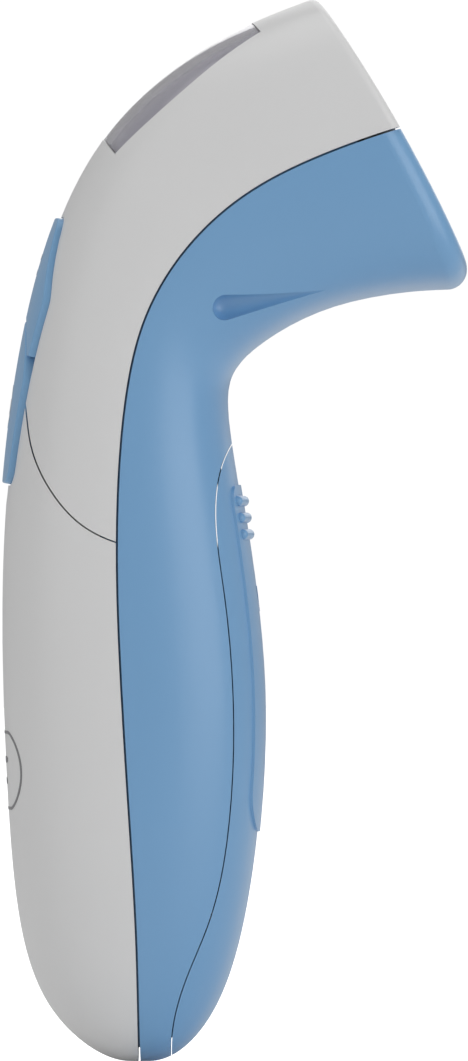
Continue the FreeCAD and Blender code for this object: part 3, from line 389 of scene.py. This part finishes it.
def cell_jacket_material(name, low, high, positive_up):
    """A dry cell between two heights: a dark sleeve, a copper-coloured shoulder and bare metal ends."""
    material, tree, shader = start_material(name)
    coords = new_node(tree, "ShaderNodeTexCoord", -1100, 0).outputs["Object"]
    split = new_node(tree, "ShaderNodeSeparateXYZ", -900, 0)
    put(tree, coords, split.inputs["Vector"])
    start, end = (low, high) if positive_up else (high, low)
    share = spread(tree, split.outputs["Z"], start * MM, end * MM, 0.0, 1.0, -700, 0)
    bands = new_node(tree, "ShaderNodeValToRGB", -500, 0)
    bands.color_ramp.interpolation = "CONSTANT"
    bands.color_ramp.elements[0].color = (*STEEL_COLOUR, 1.0)
    bands.color_ramp.elements.new(SLEEVE_START).color = (*SLEEVE_COLOUR, 1.0)
    bands.color_ramp.elements.new(SHOULDER_START).color = (*COPPER_COLOUR, 1.0)
    bands.color_ramp.elements.new(NUB_START).color = (*STEEL_COLOUR, 1.0)
    bands.color_ramp.elements.remove(bands.color_ramp.elements[-1])
    put(tree, bands.outputs["Color"], shader.inputs["Base Color"])
    skin = use_group(tree, "moulded_skin", -500, -300, Gloss_Low=0.16, Gloss_High=0.28)
    put(tree, skin.outputs["Roughness"], shader.inputs["Roughness"])
    bump_from(tree, skin.outputs["Height"], shader, FINE_BUMP)
    sleeve = math_node(tree, "COMPARE", share, SLEEVE_MIDDLE, -300, -500)
    sleeve.node.inputs[2].default_value = SLEEVE_REACH
    bare = math_node(tree, "SUBTRACT", 1.0, sleeve, -100, -500)
    put(tree, bare, shader.inputs["Metallic"])
    return material


materials["cell_left"] = cell_jacket_material("cell_left", 23.7, 68.2, True)
materials["cell_right"] = cell_jacket_material("cell_right", 20.7, 65.2, False)
CELL_MATERIALS = {"battery_left": "cell_left", "battery_right": "cell_right"}

SLOT_MATERIALS = {
    "white_plastic": "white_casing", "blue_plastic": "blue_casing", "key_plastic": "blue_key",
    "clear_window": "clear_window", "grey_plastic": "grey_bezel", "lcd_glass": "lcd_glass",
    "black_plastic": "black_plastic", "diffuser": "diffuser", "connector_rubber": "zebra_rubber",
    "circuit_board": "board_green", "chip_black": "chip_black", "switch_brown": "switch_brown",
    "screw_steel": "steel", "ribbon_film": "ribbon_film", "ir_window": "ir_window", "can_metal": "can_metal",
    "contact_metal": "nickel", "cable_insulation": "cable_white", "cell_jacket": "cell_left",
    "lead_red": "lead_red", "lead_black": "lead_black",
}


def finish_cad_nodes():
    """Gives every CAD node its detailed material in place of the plain one."""
    for part in frame["record"]["subparts"]:
        node = nodes[part["node"]]
        name = CELL_MATERIALS.get(part["node"], SLOT_MATERIALS[part["material_slot"]])
        node.data.materials.clear()
        node.data.materials.append(materials[name])


# ---- working planes ------------------------------------------------------------------------------
def plane(origin, up, out):
    """A matrix that carries a piece drawn flat, with x up the plane and z out of it, to its place."""
    up = Vector(up).normalized()
    out = Vector(out).normalized()
    matrix = Matrix((up, out.cross(up), out)).transposed().to_4x4()
    matrix.translation = Vector(origin) * MM
    return matrix


def spot(surface, x, y, out, turn=0.0):
    """A place on a working plane, in millimetres, turned by degrees."""
    shift = Matrix.Translation(Vector((x, y, out)) * MM)
    return surface @ shift @ Matrix.Rotation(math.radians(turn), 4, "Z")


# each plane's origin is in millimetres, followed by the way up it and the way out of it
DISPLAY = plane((-9.046, 0.0, 139.80), (0.78873, 0.0, 0.61473), (-0.61473, 0.0, 0.78873))
KEYS = plane((-32.045, 0.0, 81.45), (0.19595, 0.0, 0.98061), (-0.98061, 0.0, 0.19595))
BACK = plane((-33.0, 0.0, 41.2), (0.0, 0.0, 1.0), (-1.0, 0.0, 0.0))
DOOR = plane((5.0, 0.0, 66.0), (0.0, 0.0, -1.0), (1.0, 0.0, 0.0))
CLEAR = 12.0  # how far out a drawing starts before it is laid on its surface
INK_GAP = 0.015 * MM
CASING_INK = 0.05  # thickness
KEY_INK = 0.04


# ---- printed pieces ------------------------------------------------------------------------------
def pick_only(piece):
    bpy.ops.object.select_all(action="DESELECT")
    piece.select_set(True)
    bpy.context.view_layer.objects.active = piece


def apply_modifier(piece, kind, **settings):
    pick_only(piece)
    modifier = piece.modifiers.new(kind.lower(), kind)
    for name, value in settings.items():
        setattr(modifier, name, value)
    bpy.ops.object.modifier_apply(modifier=modifier.name)


def edit_faces(piece, chosen, action):
    """Runs an edit-mode action on the faces that pass a test."""
    pick_only(piece)
    bpy.ops.object.mode_set(mode="EDIT")
    bpy.ops.mesh.select_mode(type="FACE")
    bpy.ops.mesh.select_all(action="DESELECT")
    bpy.ops.object.mode_set(mode="OBJECT")
    for face in piece.data.polygons:
        face.select = chosen(face)
    bpy.ops.object.mode_set(mode="EDIT")
    action()
    bpy.ops.object.mode_set(mode="OBJECT")


def every_face(face):
    return True


def delete_faces():
    bpy.ops.mesh.delete(type="FACE")


def settle(piece):
    """Leaves the piece's place in its mesh."""
    pick_only(piece)
    bpy.ops.object.transform_apply(location=True, rotation=True, scale=True)


def join(pieces):
    bpy.ops.object.select_all(action="DESELECT")
    for piece in pieces:
        piece.select_set(True)
    bpy.context.view_layer.objects.active = pieces[0]
    bpy.ops.object.join()
    return pieces[0]


def finish_piece(piece, name, body, material):
    piece.name = name
    piece.data.materials.clear()
    piece.data.materials.append(materials[material])
    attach(piece, body)


def lay_on(piece, where, node, thick):
    """Drops a flat drawing on a casing piece, as a thin layer of ink."""
    piece.matrix_world = where
    apply_modifier(
        piece, "SHRINKWRAP", target=nodes[node], wrap_method="PROJECT", use_project_z=True,
        use_positive_direction=False, use_negative_direction=True, offset=INK_GAP,
    )
    settle(piece)
    apply_modifier(piece, "SOLIDIFY", thickness=thick * MM, offset=1.0)
    return piece


def disc(radius, corners=32):
    bpy.ops.object.select_all(action="DESELECT")
    bpy.ops.mesh.primitive_circle_add(vertices=corners, radius=radius * MM, fill_type="TRIFAN")
    return bpy.context.object


def pill_outline(radius, stretch, line):
    """A flat outline: a disc pulled apart across, with its middle taken out and its long sides divided."""
    bpy.ops.object.select_all(action="DESELECT")
    bpy.ops.mesh.primitive_circle_add(vertices=64, radius=radius * MM, fill_type="NGON")
    piece = bpy.context.object
    for corner in piece.data.vertices:
        corner.co.y += math.copysign(stretch * MM, corner.co.y)
    edit_faces(piece, every_face, lambda: bpy.ops.mesh.inset(thickness=line * MM))
    edit_faces(piece, lambda face: len(face.vertices) > 4, delete_faces)
    long_face = 1.5 * line * MM * MM
    edit_faces(piece, lambda face: face.area > long_face, lambda: bpy.ops.mesh.subdivide(number_cuts=9))
    return piece


BAR_TAPER_START = 0.45
BAR_END_SHARE = 0.55


def bar(length, width):
    """A flat bar with tapered ends, long across."""
    bpy.ops.object.select_all(action="DESELECT")
    bpy.ops.mesh.primitive_grid_add(x_subdivisions=2, y_subdivisions=12, size=1.0)
    piece = bpy.context.object
    for corner in piece.data.vertices:
        corner.co = Vector((corner.co.x * width * MM, corner.co.y * length * MM, 0.0))
        if abs(corner.co.y) > BAR_TAPER_START * length * MM:
            corner.co.x *= BAR_END_SHARE
    return piece


def make_badge():
    """A plain badge on the handle's back: an outline round two bars."""
    outline = pill_outline(radius=5.6, stretch=5.0, line=0.42)
    lay_on(outline, spot(BACK, 0, 0, CLEAR), "rear_cover_lower", CASING_INK)
    lines = [outline]
    for height, length in ((1.5, 9.0), (-1.5, 6.0)):
        lines.append(lay_on(bar(length, 0.9), spot(BACK, height, 0, CLEAR), "rear_cover_lower", CASING_INK))
    finish_piece(join(lines), "back_badge", "casing", "badge_ink")


SCAN_MARK_HEIGHT = 11.0


def make_key_marks():
    """A ring and dot on the scan key, and two short lines on the mode key."""
    target = spot(KEYS, SCAN_MARK_HEIGHT, 0, CLEAR)
    ring = lay_on(pill_outline(radius=3.1, stretch=0.0, line=0.5), target, "scan_key", KEY_INK)
    dot = lay_on(disc(1.1), target, "scan_key", KEY_INK)
    finish_piece(join([ring, dot]), "scan_key_mark", "scan_key", "key_ink")
    lines = []
    for height, length in ((32.6, 5.0), (30.4, 3.2)):
        lines.append(lay_on(bar(length, 0.8), spot(KEYS, height, 0, CLEAR), "mode_key", KEY_INK))
    finish_piece(join(lines), "mode_key_mark", "mode_key", "key_ink")


def make_door_arrow():
    """A small arrowhead on the door that shows which way it slides."""
    arrow = disc(2.4, 3)
    edit_faces(arrow, every_face, lambda: bpy.ops.mesh.subdivide(number_cuts=5))
    lay_on(arrow, spot(DOOR, 0, 0, CLEAR, -90.0), "battery_door", CASING_INK)
    finish_piece(arrow, "door_arrow", "battery_door", "door_ink")


SEGMENTS = {  # of one figure: place up, place across, and whether it stands
    "a": (3.3, 0.0, False), "g": (0.0, 0.0, False), "d": (-3.3, 0.0, False), "f": (1.65, 1.75, True),
    "b": (1.65, -1.75, True), "e": (-1.65, 1.75, True), "c": (-1.65, -1.75, True),
}
FIGURES = {"3": "abgcd", "6": "afgedc", "5": "afgcd"}
FIGURES_SHOWN = (("3", 5.4), ("6", 0.4), ("5", -5.2))  # each with its place across
LCD_FACE = -6.8
FIGURE_LIFT = 0.02
THIN_INK = 0.03


def make_lcd_figures():
    """The figures of a reading, on the display's face."""
    master = bar(2.7, 0.62)
    copies = []
    for figure, across in FIGURES_SHOWN:
        for letter in FIGURES[figure]:
            up, side, standing = SEGMENTS[letter]
            copy = master.copy()
            copy.data = master.data.copy()
            bpy.context.collection.objects.link(copy)
            turn = 90.0 if standing else 0.0
            copy.matrix_world = spot(DISPLAY, up, across + side, LCD_FACE + FIGURE_LIFT, turn)
            settle(copy)
            copies.append(copy)
    dot = disc(0.42, 12)
    dot.matrix_world = spot(DISPLAY, -3.5, -2.5, LCD_FACE + FIGURE_LIFT)
    settle(dot)
    bpy.data.objects.remove(master)
    figures = join([*copies, dot])
    apply_modifier(figures, "SOLIDIFY", thickness=THIN_INK * MM, offset=1.0)
    finish_piece(figures, "lcd_figures", "casing", "lcd_ink")


SIGHT_HALF = (10.2, 7.9)  # of the clear part of the window, up and across
UNDERSIDE_LEAN = -0.35  # a face of the underside looks at least this far inwards
WELD_REACH = 0.002 * MM
PRINT_DROP = 0.02 * MM  # below the window


def make_window_print():
    """A pale printed border on the window's underside, open over the display."""
    pick_only(nodes["display_window"])
    bpy.ops.object.duplicate()
    border = bpy.context.object
    edit_faces(border, every_face, lambda: bpy.ops.mesh.remove_doubles(threshold=WELD_REACH))
    turned = DISPLAY.to_3x3()
    out = turned @ Vector((0, 0, 1))
    edit_faces(border, lambda face: face.normal.dot(out) > UNDERSIDE_LEAN, delete_faces)
    for axis, half in zip((Vector((1, 0, 0)), Vector((0, 1, 0))), SIGHT_HALF):
        for side in (-1, 1):
            cut = {"plane_co": DISPLAY @ (axis * side * half * MM), "plane_no": turned @ axis}
            edit_faces(border, every_face, lambda: bpy.ops.mesh.bisect(**cut))
    inside = DISPLAY.inverted()

    def over_display(face):
        place = inside @ face.center
        return abs(place.x) < SIGHT_HALF[0] * MM and abs(place.y) < SIGHT_HALF[1] * MM

    edit_faces(border, over_display, delete_faces)
    edit_faces(border, every_face, lambda: bpy.ops.transform.translate(value=-out * PRINT_DROP))
    apply_modifier(border, "SOLIDIFY", thickness=THIN_INK * MM, offset=1.0)
    finish_piece(border, "window_border", "casing", "window_print")


add_camera()
add_studio()
finish_cad_nodes()
make_badge()
make_key_marks()
make_door_arrow()
make_lcd_figures()
make_window_print()

bpy.context.scene.view_settings.view_transform = "Standard"
